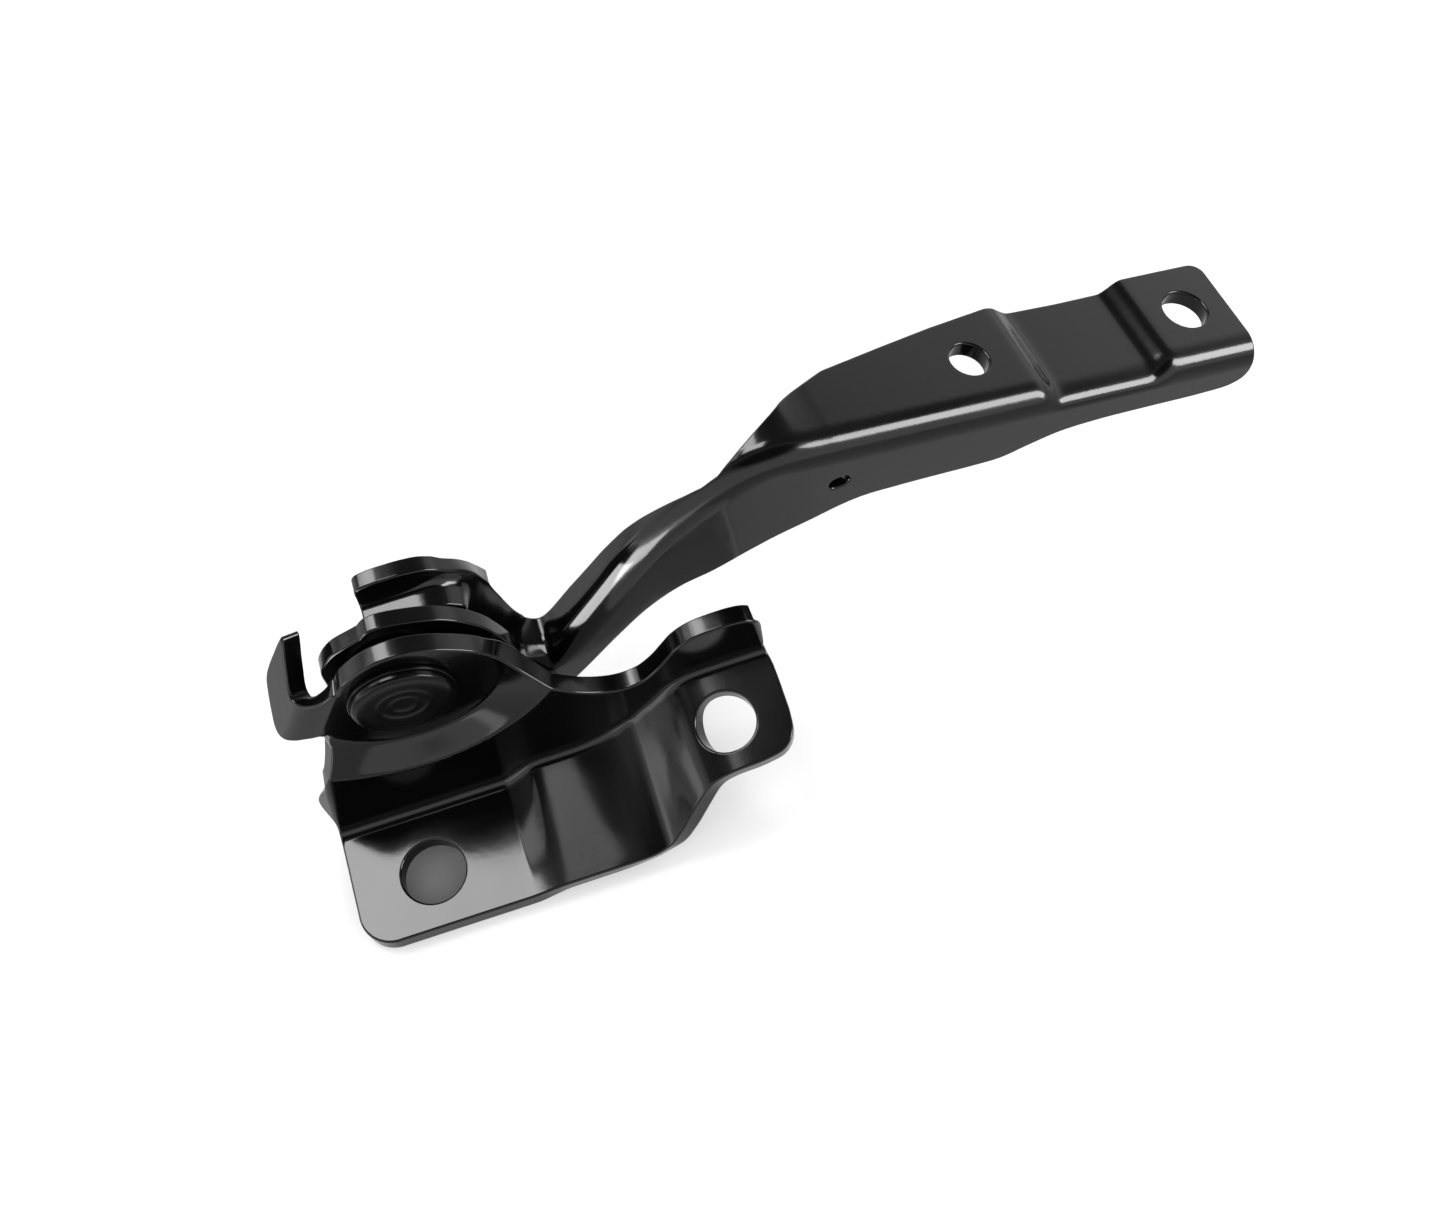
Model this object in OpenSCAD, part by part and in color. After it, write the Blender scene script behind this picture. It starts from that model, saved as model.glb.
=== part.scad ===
// Bonnet hinge: a pressed body bracket and a gooseneck arm on one riveted pivot.
// Frame: origin at the left bracket bolt hole on the mounting face, X along the
// bracket, Y along the pivot towards the back, Z up. Millimetres, closed pose.

/* [Sheet] */
// Sheet thickness of the bracket
tb = 4.5; // [3:0.1:5]
// Sheet thickness of the arm
t = 4; // [3:0.1:5]
// Inside bend radius where the left pad meets the web
bend_r = 5; // [2:0.5:8]

/* [Bracket] */
// Left edge of the left pad
pad_x0 = -19; // [-24:0.5:-14]
// Right edge of the left pad
pad_x1 = 23; // [18:0.5:26]
// Front edge of the left pad, along the pad from its hole
front_y = -13; // [-18:0.5:-11]
// Tilt of the left pad
pad_tilt = 3.3; // [0:0.1:12]
// Front edge of the tilted part of the flange
front_r = -13.9; // [-18:0.5:-11]
// Front face of the web
web_y = 15; // [12:0.5:18]
// Right end of the bracket
right_x = 88; // [82:0.5:96]
// Height of the right pad above the left pad, before the tilt
right_h = 18; // [12:0.5:24]
// Tilt of the middle panel and the right pad
tilt = 11; // [0:0.5:20]
// Left bolt hole radius
hole_l_r = 7.5; // [5:0.1:9]
// Right bolt hole radius
hole_r_r = 6.8; // [5:0.1:9]
// Right bolt hole place along the bracket
hole_r_x = 73.8; // [70:0.1:78]
// Right bolt hole place across the bracket
hole_r_y = 2.5; // [-2:0.1:6]

/* [Pivot] */
// Pivot place along the bracket
piv_x = 10.2; // [5:0.1:15]
// Pivot height above the top face of the left pad
piv_z = 46.5; // [40:0.1:52]
// Front face of the pivot boss
boss_y = 20.5; // [18:0.1:22]
// Flat radius of the pivot boss
boss_r = 21; // [18:0.5:24]
// Rivet shank radius
shank_r = 4.5; // [4:0.05:6]
// Radial running clearance between shank and bush
run_c = 0.05; // [0.02:0.01:0.1]
// Rivet head radius
head_r = 11.4; // [9:0.1:13]
// Rivet tail and tail washer radius
tail_r = 6.8; // [6:0.1:6.9]
// Outer radius of the bush sleeve
bush_r = 5.7; // [5.4:0.05:6.5]
// Gap between the boss and the arm
ear_gap = 2.9; // [2.7:0.1:4]

/* [Hook] */
// Angle by which the hook is bent back
hook_bend = 50; // [35:1:65]

/* [Arm] */
// Downward slope of the outer arm
arm_slope = 23; // [15:0.5:30]
// Sideways skew of the outer arm
arm_skew = 9.4; // [0:0.2:14]
// Length of the outer arm from its bend
arm_l = 120.3; // [100:0.1:140]
// Depth of the recessed panel
joggle = 2.5; // [1:0.1:3.5]
// Outer bend radius of the outer arm
arm_r = 6; // [4.5:0.5:8]
// Inner bolt hole radius
arm_hole_a = 4.5; // [3.5:0.1:6]
// Outer bolt hole radius
arm_hole_b = 5.4; // [3.5:0.1:7]

/* [Hidden] */
$fn = 96;
black = [0.05, 0.05, 0.055];
steel = [0.25, 0.25, 0.26];
ear_y = boss_y + tb + ear_gap;
ear_b = ear_y + t;
elbow = [105.9, 27.85, 75.05];
rise = right_h / 18;
// Where the tilted pad runs into its bend, and the height of the bend's centre
pad_back = (web_y - bend_r + (tb + bend_r) * sin(pad_tilt)) / cos(pad_tilt);
bend_z = pad_back * sin(pad_tilt) + (tb + bend_r) * cos(pad_tilt) - tb;

// Smooth curve through a few corner points
function cr(a, b, c, d, u) = 0.5 * (2 * b + (c - a) * u
  + (2 * a - 5 * b + 4 * c - d) * u * u + (3 * b - a - 3 * c + d) * u * u * u);
function spl(P, n = 5) = concat([for (i = [0 : len(P) - 2]) for (k = [0 : n - 1])
  cr(P[max(i - 1, 0)], P[i], P[i + 1], P[min(i + 2, len(P) - 1)], k / n)], [P[len(P) - 1]]);
// Unit normal on the left of a curve, and a strip of sheet under it
function nrm(P, i) = let (d = P[min(i + 1, len(P) - 1)] - P[max(i - 1, 0)])
  [-d[1], d[0]] / norm(d);
function strip(P, s) = concat(P, [for (i = [len(P) - 1 : -1 : 0]) P[i] - s * nrm(P, i)]);

// Extrusions of a front outline along Y and of a side outline along X
module xz(y0, y1) translate([0, y1, 0]) rotate([90, 0, 0]) linear_extrude(y1 - y0) children();
module yz(x0, x1) translate([x0, 0, 0]) rotate([90, 0, 90]) linear_extrude(x1 - x0) children();
// A turned piece on the pivot axis, its outline given as radius and Y
module turned(P) translate([piv_x, 0, piv_z]) rotate([-90, 0, 0]) rotate_extrude() polygon(P);
module axis_rod(r, y0, y1) translate([piv_x, y0, piv_z]) rotate([-90, 0, 0]) cylinder(r = r, h = y1 - y0);

// Bracket: trimmed outline of the web, seen from the front
module web_outline() polygon(concat(
  spl([[-3.5, 49.9], [-2.6, 52.6], [0, 56.1], [4, 59.2], [9, 61.2], [14.3, 61.4], [19, 60],
       [24.5, 56.6], [29.5, 52], [33, 46.5], [36.8, 41], [41.5, 35.5], [45.6, 31], [49.6, 28],
       [54.2, 26.2], [58.6, 26.6], [62.5, 29.4], [65.4, 32.8], [68.6, 36.4], [72.6, 38.6],
       [79, 39.4], [84.6, 38.8], [87, 37.2]], 4),
  [[87, 21.5], [72, 21.2], [67.5, 19.4], [64, 16.6], [60.5, 12.2], [57, 8], [53, 5.2], [48, 3.8],
   [24, 3.2], [22, 7.2], [-17, 7.2], [-17.5, 14], [-15.5, 26], [-10.2, 38.3]]));

module bracket_web() {
  difference() {
    xz(web_y, web_y + tb) web_outline();
    axis_rod(28, 0, 40);
  }
  // Pivot boss pressed back from the web, with its sloped wall
  intersection() {
    turned([[0, boss_y], [boss_r, boss_y], [boss_r + 5.2, web_y], [28.2, web_y],
            [28.2, web_y + tb], [boss_r + 6.8, web_y + tb], [boss_r + 1.7, boss_y + tb], [0, boss_y + tb]]);
    xz(0, 40) web_outline();
  }
}

// Left pad, tilted about its hole on the mounting face, and its bend
module on_pad() translate([0, 0, -tb]) rotate([pad_tilt, 0, 0]) children();
module left_pad() difference() {
  yz(pad_x0, pad_x1) {
    translate([0, -tb]) rotate(pad_tilt) translate([front_y, 0]) square([pad_back - front_y + 1, tb]);
    translate([web_y - bend_r, bend_z - 0.06]) intersection() {
      difference() {
        circle(bend_r + tb);
        circle(bend_r);
      }
      polygon([[0, 0], [30 * sin(pad_tilt), -30 * cos(pad_tilt)], [40, -30], [40, 0]]);
    }
    translate([web_y, bend_z - 0.5]) square([tb, 3.5]);
  }
  // Rounded front corner, and the left end of the bend
  on_pad() difference() {
    translate([pad_x0 - 1, front_y - 1, -1]) cube([9, 9, tb + 2]);
    translate([pad_x0 + 8, front_y + 8, -2]) cylinder(r = 8, h = tb + 4);
  }
  translate([pad_x0 - 1, 9.5, 3]) cube([2.5, 20, 20]);
}

// Middle panel, ramp and right pad as one tilted strip, trimmed in plan
module right_flange() intersection() {
  translate([0, front_r, 0]) rotate([tilt, 0, 0]) xz(-4, 44)
    polygon(strip(spl([[pad_x1 - 1, 0], [36, 0.1 * rise], [44, 0.2 * rise], [49, 0.7 * rise], [53, 2 * rise],
      [57, 6 * rise], [60.2, 11 * rise], [62.8, 14.9 * rise], [65.6, 17.4 * rise], [69, 18 * rise], [74, 18 * rise], [80, 18 * rise], [90, 18 * rise]]), tb));
  translate([0, 0, -20]) linear_extrude(80) polygon(concat(
    spl([[pad_x1 - 1, front_r], [36, front_r], [50, front_r], [56, -12.7], [61, -11], [66, -9.4], [72, -8.7],
         [80, -8.3], [85, -7], [87.6, -3.6], [right_x, 2]]),
    [[right_x, 12], [86.8, web_y + tb], [pad_x1 - 1, web_y + tb]]));
}

module step_wall() yz(pad_x1 - 1, pad_x1 + 3)
  polygon([[front_r, -6], [front_r, 0], [web_y, 5.3], [web_y + tb, 7], [web_y + tb, 4], [web_y - 3, -2.8]]);

// Hook plate bent back along the left edge of the boss
module hook() translate([-3.5, boss_y, 49.9]) rotate([0, 30, 0]) rotate([90, 0, 180])
  rotate([0, -hook_bend, 0]) linear_extrude(tb) polygon(concat([[0, 0], [0, -13.3]],
    spl([[2, -16.5], [5, -21], [8, -23], [11.1, -21.4], [13.4, -17.4], [15.5, -12], [17.1, -6.7]]),
    [[17.2, 6.4], [15.8, 6.2]],
    spl([[12.4, -2.6], [10.7, -6.8], [8.6, -9], [6.2, -8.2], [4.2, -5.2], [3, -2.6], [1.5, 1.4]])));

// Small returns at both ends of the web
module left_return() translate([-15.8, web_y, 0]) rotate([90, 0, 180]) rotate([0, -hook_bend, 0])
  linear_extrude(tb) polygon([[-0.5, 27], [2.6, 22.5], [4.6, 17], [4.4, 13.5], [2.5, 9], [-0.5, 5]]);
module right_return() translate([86.6, web_y, 0]) rotate([90, 0, 0]) rotate([0, 45, 0])
  translate([0, 0, -tb]) linear_extrude(tb) polygon([[-0.5, 25], [2.5, 27], [4, 30.5], [4, 35], [2.6, 37], [-0.5, 37.4]]);

module body_bracket() color(black) translate([0, 0, tb]) difference() {
  union() {
    bracket_web();
    left_pad();
    step_wall();
    right_flange();
    hook();
    left_return();
    right_return();
  }
  on_pad() translate([0, 0, -1]) cylinder(r = hole_l_r, h = tb + 2);
  translate([hole_r_x, hole_r_y, 21.3]) rotate([tilt, 0, 0]) cylinder(r = hole_r_r, h = 4 * tb, center = true);
  axis_rod(shank_r - 0.02, 0, 40);
}

// Arm: pivot ear and gooseneck web in one plane
module neck_web() xz(ear_y, ear_b) polygon(concat(
  spl([[4, 31], [-2.6, 37.4], [-5.3, 45], [-4.6, 51.5], [-0.5, 56.9], [4.6, 59], [6.9, 59.8]]),
  spl([[8.3, 61.5], [11, 61.9], [16, 60.7], [24, 57], [30.6, 49.2], [33.6, 41.5], [35.8, 33.5], [38.4, 27]]),
  spl([[40.8, 25.4], [45.3, 30], [54.7, 41.6], [66.6, 55.9], [79.9, 67.2], [93.3, 75], [107, 75]]),
  spl([[107, 49], [98, 46.8], [90.4, 44.6], [81.8, 40.8], [73.7, 39.4], [66, 35.2], [57.4, 26.9],
       [46.3, 15.7], [39, 9.2], [31, 6.8], [22, 10], [13, 20]])));

// Narrow flange along the top of the neck, trimmed in plan
module neck_flange() intersection() {
  xz(ear_b - 1, 44) polygon(strip(spl([[40.8, 25.4], [45.3, 30], [54.7, 41.6], [66.6, 55.9],
    [79.9, 67.2], [93.3, 75], [103, 75.6]]), t));
  linear_extrude(100) polygon(concat([[38, ear_b - 1]], spl([[38, 39.6], [44, 38.2], [50, 37.4], [60, 36], [70, 34.9],
    [82, 34.2], [92, 34.8], [104, 38]]), [[104, ear_b - 1]]));
}

// Tongue behind the ear, with its raised back lip
module tongue() {
  intersection() {
    xz(ear_b - 1, 42) polygon(strip(spl([[8, 57.6], [14, 57.6], [19, 57.2], [24, 54.6], [28, 51.6],
      [31.6, 48.6], [34.3, 43], [36, 35.5], [37.8, 29], [41.2, 25.6], [43, 27.6]]), 3.6));
    linear_extrude(100) polygon(concat([[7, ear_b - 1], [7, 42]],
      spl([[29, 42], [33, 41.6], [36.5, 40.2], [40, 39.2], [44, 38.4]]), [[44, ear_b - 1]]));
  }
  xz(38.5, 42) polygon(concat(spl([[8, 60.6], [10.5, 61.6], [17.8, 61.4], [22, 60.4], [26.8, 57],
    [30, 54], [33.2, 49.6]]), [[32, 45], [26, 49.6], [18, 54.2], [8, 54.4]]));
}

module outer_arm() difference() {
  union() {
    xz(0, t) polygon(concat([[0, -1], [58, -1], [66, -joggle - 1], [93, -joggle - 1], [100, -1], [arm_l, -1]],
      spl([[arm_l, -5], [119.4, -8.6], [116, -11.2], [108.2, -12], [80.2, -12.5], [69.7, -13.6], [62.5, -15.8],
           [55.6, -18.4], [39.9, -19], [19.8, -20], [8.5, -23.6], [0, -27.2]])));
    intersection() {
      xz(0, 40) polygon(strip(spl([[-16, -10.8], [-11, -4.9], [-6.5, -1.9], [-2, -0.4], [5, 0], [20, 0], [40, 0], [56, 0], [62, -0.12 * joggle],
        [66, -0.88 * joggle], [71, -joggle], [80, -joggle], [88, -joggle], [93, -0.88 * joggle], [97, -0.12 * joggle],
        [103, 0], [112, 0], [arm_l, 0]]), t));
      translate([0, 0, -30]) linear_extrude(60) polygon(concat([[-16, 3.5]],
        spl([[-16, 4.6], [-13, 5.8], [-9.5, 7.7], [-2, 12.4], [5.6, 16.5], [14.6, 20.2], [30.7, 23.2], [44.8, 25.7],
             [60.5, 28], [67, 27.2], [80, 26.9], [92, 27.1], [98, 28], [112, 28.1], [117.6, 27.9], [119.8, 26.6], [arm_l, 24.4]]),
        [[arm_l, 0], [0, 0]]));
    }
  }
  // Rounded outer bend
  yz(-3, arm_l + 1) difference() {
    translate([-1, -arm_r]) square([arm_r + 1, arm_r + 2]);
    translate([arm_r, -arm_r]) circle(arm_r);
  }
  translate([49.3, 14.9, 0]) cylinder(r = arm_hole_a, h = 4 * t, center = true);
  translate([108.5, 15.6, 0]) cylinder(r = arm_hole_b, h = 4 * t, center = true);
  // Small oblong locating hole in the web
  xz(-2, t + 2) translate([12.6, -12.7]) rotate(14) {
    translate([-0.8, 0]) circle(1.6);
    translate([0.8, 0]) circle(1.6);
    translate([-0.8, -1.6]) square([1.6, 3.2]);
  }
}

module hinge_arm() color(black) translate([0, 0, tb]) difference() {
  union() {
    neck_web();
    neck_flange();
    tongue();
    translate(elbow) rotate([0, arm_slope, arm_skew]) outer_arm();
  }
  axis_rod(bush_r - 0.02, 0, ear_b + 1);
}

module pivot_rivet() color(black) translate([0, 0, tb]) turned([[0, 18.3], [2.6, 18.1], [3.4, 17.5], [4.4, 17.3],
  [5.4, 17.1], [10.4, 17], [head_r - 0.3, 17.3], [head_r, 18], [head_r, boss_y - 1.6], [shank_r, boss_y - 1.6],
  [shank_r, ear_b + 2.3], [tail_r, ear_b + 2.3], [tail_r, ear_b + 3.6], [5.4, ear_b + 4.8], [0, ear_b + 4.8]]);

module head_washer() color(black) translate([0, 0, tb])
  turned([[shank_r + 0.05, boss_y - 1.6], [11.8, boss_y - 1.6], [11.8, boss_y], [shank_r + 0.05, boss_y]]);

module spacer_washer() color(steel) translate([0, 0, tb])
  turned([[shank_r + 0.05, boss_y + tb], [9.5, boss_y + tb], [9.5, ear_y - 1.5], [shank_r + 0.05, ear_y - 1.5]]);

module pivot_bush() color(steel) translate([0, 0, tb])
  turned([[shank_r + run_c, ear_y - 1.2], [8.5, ear_y - 1.2], [8.5, ear_y], [bush_r, ear_y],
          [bush_r, ear_b], [shank_r + run_c, ear_b]]);

module tail_washer() color(steel) translate([0, 0, tb])
  turned([[shank_r + 0.05, ear_b + 0.3], [tail_r, ear_b + 0.3], [tail_r, ear_b + 2.3], [shank_r + 0.05, ear_b + 2.3]]);

body_bracket();
hinge_arm();
pivot_rivet();
pivot_bush();
spacer_washer();
head_washer();
tail_washer();
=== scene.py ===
import math

import bpy
import numpy as np
from mathutils import Matrix, Vector
from mathutils.geometry import delaunay_2d_cdt
from mathutils.kdtree import KDTree


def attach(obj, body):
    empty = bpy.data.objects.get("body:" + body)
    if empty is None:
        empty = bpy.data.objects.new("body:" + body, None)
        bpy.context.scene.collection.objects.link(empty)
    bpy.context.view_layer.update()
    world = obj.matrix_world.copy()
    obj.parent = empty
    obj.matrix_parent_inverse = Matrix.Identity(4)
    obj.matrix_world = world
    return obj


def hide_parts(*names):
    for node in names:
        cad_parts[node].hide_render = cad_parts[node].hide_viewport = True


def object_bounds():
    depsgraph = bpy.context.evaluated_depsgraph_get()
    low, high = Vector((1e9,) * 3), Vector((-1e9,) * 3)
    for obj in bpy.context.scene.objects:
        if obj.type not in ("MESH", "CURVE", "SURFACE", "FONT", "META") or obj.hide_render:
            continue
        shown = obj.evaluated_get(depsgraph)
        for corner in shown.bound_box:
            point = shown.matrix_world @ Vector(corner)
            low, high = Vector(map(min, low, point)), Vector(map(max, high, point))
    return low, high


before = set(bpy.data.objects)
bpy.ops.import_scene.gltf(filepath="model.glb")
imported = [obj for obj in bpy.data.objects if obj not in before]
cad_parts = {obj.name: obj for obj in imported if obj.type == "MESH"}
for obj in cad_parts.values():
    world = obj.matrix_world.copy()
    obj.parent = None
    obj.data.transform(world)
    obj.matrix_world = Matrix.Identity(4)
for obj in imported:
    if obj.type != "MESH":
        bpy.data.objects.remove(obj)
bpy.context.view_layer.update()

# Shapes are drawn in millimetres with z = 0 on the top face of the left pad at
# its bolt hole; the CAD frame lies one sheet thickness lower.
LIFT = 4.5
TB, TA = 4.5, 4.0
PX, PZ = 10.2, 46.5


# ------------------------------------------------------------------ helpers
def sr(u, k):
    return k * np.logaddexp(0.0, u / k)


def ramp(x, a, b, k):
    return (sr(x - a, k) - sr(x - b, k)) / (b - a)


def smooth(x, a, b):
    t = np.clip((x - a) / (b - a), 0.0, 1.0)
    return t * t * t * (t * (6 * t - 15) + 10)


def soft_line(x, P, k):
    """A line through the points P with every corner rounded."""
    P = np.asarray(P, float)
    m = np.diff(P[:, 1]) / np.diff(P[:, 0])
    y = P[0, 1] + m[0] * (x - P[0, 0])
    for i in range(1, len(m)):
        y = y + (m[i] - m[i - 1]) * sr(x - P[i, 0], k)
    return y


def even(P, h):
    P = np.asarray(P, float)
    L = np.r_[0, np.cumsum(np.linalg.norm(np.diff(P, axis=0), axis=1))]
    n = max(2, int(round(L[-1] / h)) + 1)
    u = np.linspace(0, L[-1], n)
    return np.stack([np.interp(u, L, P[:, j]) for j in range(P.shape[1])], 1)


def curve(P, h=0.7):
    """Even points along a smooth curve through P."""
    P = np.asarray(P, float)
    Q = np.vstack([2 * P[0] - P[1], P, 2 * P[-1] - P[-2]])
    out = []
    for i in range(1, len(Q) - 2):
        p0, p1, p2, p3 = Q[i - 1:i + 3]
        t0 = 0.0
        t1 = t0 + max(np.linalg.norm(p1 - p0), 1e-6) ** 0.5
        t2 = t1 + max(np.linalg.norm(p2 - p1), 1e-6) ** 0.5
        t3 = t2 + max(np.linalg.norm(p3 - p2), 1e-6) ** 0.5
        t = np.linspace(t1, t2, 24, endpoint=False)[:, None]
        a1 = (t1 - t) / (t1 - t0) * p0 + (t - t0) / (t1 - t0) * p1
        a2 = (t2 - t) / (t2 - t1) * p1 + (t - t1) / (t2 - t1) * p2
        a3 = (t3 - t) / (t3 - t2) * p2 + (t - t2) / (t3 - t2) * p3
        b1 = (t2 - t) / (t2 - t0) * a1 + (t - t0) / (t2 - t0) * a2
        b2 = (t3 - t) / (t3 - t1) * a2 + (t - t1) / (t3 - t1) * a3
        out.append((t2 - t) / (t2 - t1) * b1 + (t - t1) / (t2 - t1) * b2)
    out.append(P[-1:])
    return even(np.vstack(out), h)


def line(P, h=0.7):
    P = np.asarray(P, float)
    out = [P[:1]]
    for a, b in zip(P[:-1], P[1:]):
        n = max(1, int(round(np.linalg.norm(b - a) / h)))
        out.append(a + (b - a) * (np.arange(1, n + 1) / n)[:, None])
    return np.vstack(out)


def arc(c, r, a0, a1, h=0.5):
    n = max(3, int(abs(math.radians(a1 - a0)) * r / h) + 1)
    a = np.radians(np.linspace(a0, a1, n))
    return np.stack([c[0] + r * np.cos(a), c[1] + r * np.sin(a)], 1)


def join(*pieces, tol=0.12):
    P = np.vstack(pieces)
    keep = [P[0]]
    for p in P[1:]:
        if np.linalg.norm(p - keep[-1]) > tol:
            keep.append(p)
    if np.linalg.norm(keep[0] - keep[-1]) < tol:
        keep.pop()
    return np.array(keep)


def inside(P, loops):
    hit = np.zeros(len(P), bool)
    x, y = P[:, 0], P[:, 1]
    for L in loops:
        A, B = L, np.roll(L, -1, axis=0)
        for (x0, y0), (x1, y1) in zip(A, B):
            if y0 == y1:
                continue
            c = (y0 > y) != (y1 > y)
            hit ^= c & (x < (x1 - x0) * (y - y0) / (y1 - y0) + x0)
    return hit


def near(P, Q, d):
    """Which points of P lie closer than d to any point of Q."""
    kd = KDTree(len(Q))
    for i, q in enumerate(Q):
        kd.insert((q[0], q[1], 0.0), i)
    kd.balance()
    return np.array([kd.find((p[0], p[1], 0.0))[2] < d for p in P])


def fill(loops, h, extra=None, wall=0.62):
    """Triangles over a flat outline with holes: points and corner indices."""
    edge = np.vstack(loops)
    lo, hi = edge.min(0), edge.max(0)
    gx = np.arange(lo[0], hi[0], h)
    gy = np.arange(lo[1], hi[1], h * 0.866)
    G = np.array([(x + (h / 2 if j % 2 else 0.0), y) for j, y in enumerate(gy) for x in gx])
    G = G[inside(G, loops)]
    G = G[~near(G, edge, wall * h)]
    inner = G
    if extra is not None and len(extra):
        X = np.asarray(extra, float)
        X = X[inside(X, loops)]
        X = X[~near(X, edge, 0.45)]
        G = G[~near(G, X, 0.55 * h)]
        inner = np.vstack([X, G])
    verts = [Vector(p) for p in edge] + [Vector(p) for p in inner]
    edges, base = [], 0
    for L in loops:
        n = len(L)
        edges += [(base + i, base + (i + 1) % n) for i in range(n)]
        base += n
    co, _, faces, *_ = delaunay_2d_cdt(verts, edges, [], 2, 1e-6)
    co = np.array([tuple(c) for c in co])
    co[:len(edge)] = edge
    F = np.array([f[:] for f in faces])
    for L in loops[1:]:
        F = F[~inside(co[F].mean(1), [L])]
    used = np.unique(F)
    idx = -np.ones(len(co), int)
    idx[used] = np.arange(len(used))
    return co[used], idx[F]


def lift(S, D):
    """Points and unit normals of the surface S over the flat points D."""
    e = 0.03
    x, y = D[:, 0], D[:, 1]
    V = S(x, y)
    N = np.cross(S(x + e, y) - S(x - e, y), S(x, y + e) - S(x, y - e))
    return V, N / np.maximum(np.linalg.norm(N, axis=1, keepdims=True), 1e-12)


def thicken(V, N, F, t, r=0.55, rb=0.4, seg=5):
    """A sheet of thickness t behind the surface, with rounded trimmed edges."""
    e = np.concatenate([F[:, [0, 1]], F[:, [1, 2]], F[:, [2, 0]]])
    have = set(map(tuple, e.tolist()))
    border = [(a, b) for a, b in e.tolist() if (b, a) not in have]
    nxt = {a: b for a, b in border}
    prv = {b: a for a, b in border}
    ring = np.array(sorted(nxt))
    pos = {v: i for i, v in enumerate(ring.tolist())}
    p = V[[prv[v] for v in ring.tolist()]]
    q = V[[nxt[v] for v in ring.tolist()]]
    c, n = V[ring], N[ring]

    def unit(a):
        return a / np.maximum(np.linalg.norm(a, axis=1, keepdims=True), 1e-9)

    m1 = unit(np.cross(unit(c - p), n))
    m2 = unit(np.cross(unit(q - c), n))
    m = unit(m1 + m2)
    m = unit(m - (m * n).sum(1, keepdims=True) * n)
    k = 1 / np.clip((m * m1).sum(1, keepdims=True), 0.75, 1.0)
    V = V.copy()
    V[ring] = c - m * k * r
    inset_b = c - m * k * rb
    nv = len(V)
    B = V - N * t
    B[ring] = inset_b - n * t
    rings, norms = [], []
    for i in range(1, seg + 1):
        a = math.pi / 2 * i / seg
        rings.append(V[ring] + m * k * r * math.sin(a) - n * r * (1 - math.cos(a)))
        norms.append(m * math.sin(a) + n * math.cos(a))
    for i in range(0, seg):
        a = math.pi / 2 * i / seg
        rings.append(inset_b + m * k * rb * math.cos(a) - n * (t - rb + rb * math.sin(a)))
        norms.append(m * math.cos(a) - n * math.sin(a))
    P = np.vstack([V, B] + rings)
    M = np.vstack([N, -N] + norms)
    faces = F.tolist() + (F[:, ::-1] + nv).tolist()
    nr = len(ring)
    starts = [2 * nv + i * nr for i in range(len(rings))]
    for a, b in border:
        ia, ib = pos[a], pos[b]
        lad = [a] + [s + ia for s in starts] + [nv + a]
        lbd = [b] + [s + ib for s in starts] + [nv + b]
        for i in range(len(lad) - 1):
            faces.append((lbd[i], lad[i], lad[i + 1], lbd[i + 1]))
    return P, M, faces


def to_mesh(name, P, M, faces, material):
    co = np.asarray(P, float).copy()
    co[:, 2] += LIFT
    co *= 0.001
    me = bpy.data.meshes.new(name)
    me.from_pydata(co.tolist(), [], [tuple(int(i) for i in f) for f in faces])
    me.validate()
    me.polygons.foreach_set("use_smooth", [True] * len(me.polygons))
    if M is not None and len(me.vertices) == len(M):
        me.normals_split_custom_set_from_vertices([tuple(v) for v in M])
    me.update()
    ob = bpy.data.objects.new(name, me)
    bpy.context.scene.collection.objects.link(ob)
    me.materials.append(material)
    return ob


def turned(name, prof, material, seg=160, crisp=35):
    """A piece turned about the pivot axis from (radius, y) points, outside on the left."""
    prof = np.asarray(prof, float)
    a = np.linspace(0, 2 * math.pi, seg, endpoint=False)
    P, faces = [], []
    rows = []
    for r, y in prof:
        if r < 1e-6:
            rows.append([len(P)])
            P.append((PX, y, PZ))
        else:
            rows.append(list(range(len(P), len(P) + seg)))
            P += [(PX + r * math.cos(t), y, PZ + r * math.sin(t)) for t in a]
    closed = prof[0][0] > 1e-6
    pairs = list(zip(rows[:-1], rows[1:])) + ([(rows[-1], rows[0])] if closed else [])
    for A, B in pairs:
        for i in range(seg):
            j = (i + 1) % seg
            f = [A[i % len(A)], A[j % len(A)], B[j % len(B)], B[i % len(B)]]
            g = []
            for v in f:
                if v not in g:
                    g.append(v)
            if len(g) > 2:
                faces.append(tuple(g))
    ob = to_mesh(name, P, None, faces, material)
    me = ob.data
    import bmesh
    bm = bmesh.new()
    bm.from_mesh(me)
    bmesh.ops.recalc_face_normals(bm, faces=bm.faces)
    bm.to_mesh(me)
    bm.free()
    me.set_sharp_from_angle(angle=math.radians(crisp))
    return ob


def rounded(P, r=0.35, n=4):
    """Rounds the corners of a (radius, y) outline, leaving points on the axis alone."""
    P = [np.array(p, float) for p in P]
    closed = P[0][0] > 1e-6
    out = []
    for i, p in enumerate(P):
        if not closed and i in (0, len(P) - 1):
            out.append(p)
            continue
        a, b = P[i - 1], P[(i + 1) % len(P)]
        u, v = a - p, b - p
        lu, lv = np.linalg.norm(u), np.linalg.norm(v)
        d = min(r, lu * 0.45, lv * 0.45)
        s, e = p + u / lu * d, p + v / lv * d
        for k in range(n + 1):
            w = k / n
            out.append((1 - w) ** 2 * s + 2 * w * (1 - w) * p + w * w * e)
    return np.array(out)


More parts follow.
